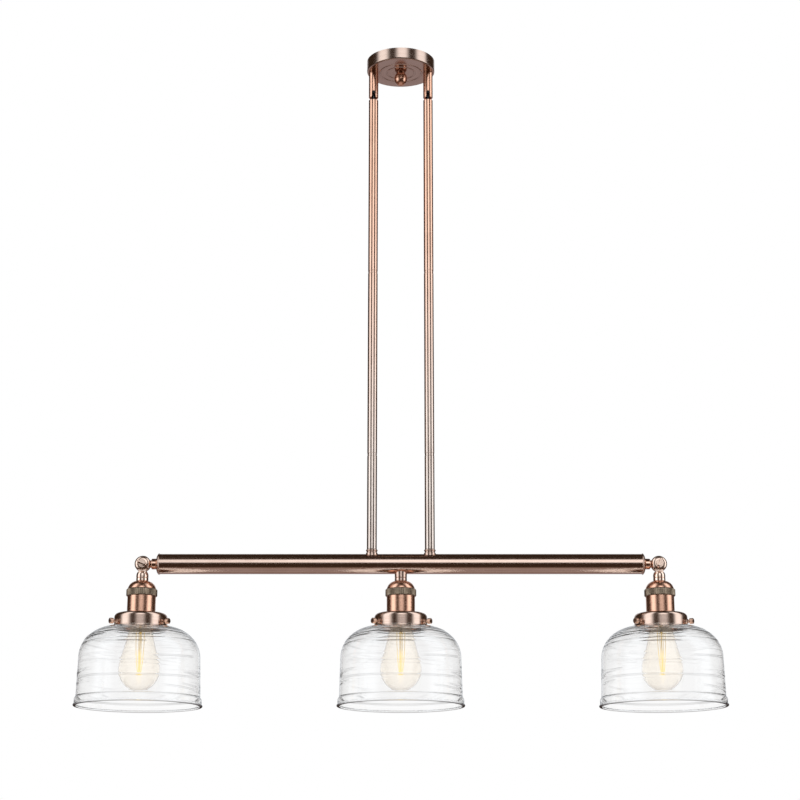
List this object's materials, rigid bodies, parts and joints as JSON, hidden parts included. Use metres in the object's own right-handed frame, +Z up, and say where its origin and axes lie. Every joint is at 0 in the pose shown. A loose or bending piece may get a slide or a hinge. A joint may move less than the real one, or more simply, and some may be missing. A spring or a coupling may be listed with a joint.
{
  "type": "linear island pendant light",
  "caption": "Bar pendant on twin rods under a round canopy, with clear glass bell shades on tilting end sockets and a fixed centre socket.",
  "frame": {"origin": "middle of the ceiling plane, on the top face of the mounting crossbar, over the centre of the canopy", "axes": "+Z up to the ceiling, X along the bar with the left lamp at -X, -Y towards the viewer, where the swivels' slots and the spade keys are"},
  "size_m": [1.0158, 0.1998, 1.0875],
  "materials": {
    "antique_copper": "antique copper plating on steel, brushed, darkened in the hollows",
    "bronzed_steel": "grey bronze plating, knurled",
    "zinc_steel": "bright zinc plate",
    "green_screw": "green lacquered ground screw",
    "socket_insert": "black moulded phenolic",
    "shade_glass": "clear glass with fine swirled cords",
    "bulb_glass": "clear glass, faintly warm",
    "bulb_base": "brass screw shell",
    "bulb_filament": "golden filament on a glass mount"
  },
  "bodies": {
    "canopy": {"canopy_shell": "antique_copper", "mounting_crossbar": "zinc_steel", "canopy_stud": "zinc_steel", "ground_screw": "green_screw", "canopy_finial": "antique_copper", "canopy_locknuts": "zinc_steel", "swivel_nipples": "zinc_steel", "swivel_housing_left": "antique_copper", "swivel_housing_right": "antique_copper"},
    "hanger": {"stem_couplers": "antique_copper", "bar_collars": "antique_copper", "bar_nipples": "zinc_steel", "bar_locknuts": "zinc_steel", "bar_tube": "antique_copper", "end_caps": "antique_copper", "knuckle_arm_left": "antique_copper", "knuckle_arm_right": "antique_copper", "centre_neck": "antique_copper", "swivel_ball_left": "zinc_steel", "stem_upper_left": "antique_copper", "stem_middle_left": "antique_copper", "stem_lower_left": "antique_copper", "swivel_ball_right": "zinc_steel", "stem_upper_right": "antique_copper", "stem_middle_right": "antique_copper", "stem_lower_right": "antique_copper", "socket_cap_centre": "antique_copper", "knurled_ring_centre": "bronzed_steel", "socket_shell_centre": "antique_copper", "socket_insert_centre": "socket_insert", "glass_holder_centre": "antique_copper", "shade_screws_centre": "antique_copper", "glass_shade_centre": "shade_glass", "bulb_glass_centre": "bulb_glass", "bulb_base_centre": "bulb_base", "bulb_filament_centre": "bulb_filament"},
    "lamp_left": {"knuckle_neck_left": "antique_copper", "socket_cap_left": "antique_copper", "knurled_ring_left": "bronzed_steel", "socket_shell_left": "antique_copper", "socket_insert_left": "socket_insert", "glass_holder_left": "antique_copper", "shade_screws_left": "antique_copper", "glass_shade_left": "shade_glass", "bulb_glass_left": "bulb_glass", "bulb_base_left": "bulb_base", "bulb_filament_left": "bulb_filament"},
    "lamp_right": {"knuckle_neck_right": "antique_copper", "socket_cap_right": "antique_copper", "knurled_ring_right": "bronzed_steel", "socket_shell_right": "antique_copper", "socket_insert_right": "socket_insert", "glass_holder_right": "antique_copper", "shade_screws_right": "antique_copper", "glass_shade_right": "shade_glass", "bulb_glass_right": "bulb_glass", "bulb_base_right": "bulb_base", "bulb_filament_right": "bulb_filament"},
    "key_left": {"knuckle_key_left": "antique_copper"},
    "key_right": {"knuckle_key_right": "antique_copper"}
  },
  "joints": [
    {"name": "hanger_swing", "type": "hinge", "parent": "canopy", "child": "hanger", "pos_m": [0, 0, -0.057], "axis": [1, 0, 0], "range_deg": [-80, 15]},
    {"name": "tilt_left", "type": "hinge", "parent": "hanger", "child": "lamp_left", "pos_m": [-0.408, 0, -0.86377], "axis": [0, 1, 0], "range_deg": [-25, 90]},
    {"name": "tilt_right", "type": "hinge", "parent": "hanger", "child": "lamp_right", "pos_m": [0.408, 0, -0.86377], "axis": [0, -1, 0], "range_deg": [-25, 90]},
    {"name": "key_turn_left", "type": "hinge", "parent": "hanger", "child": "key_left", "pos_m": [-0.408, 0, -0.86377], "axis": [0, -1, 0], "range_deg": [0, 180]},
    {"name": "key_turn_right", "type": "hinge", "parent": "hanger", "child": "key_right", "pos_m": [0.408, 0, -0.86377], "axis": [0, -1, 0], "range_deg": [0, 180]}
  ]
}
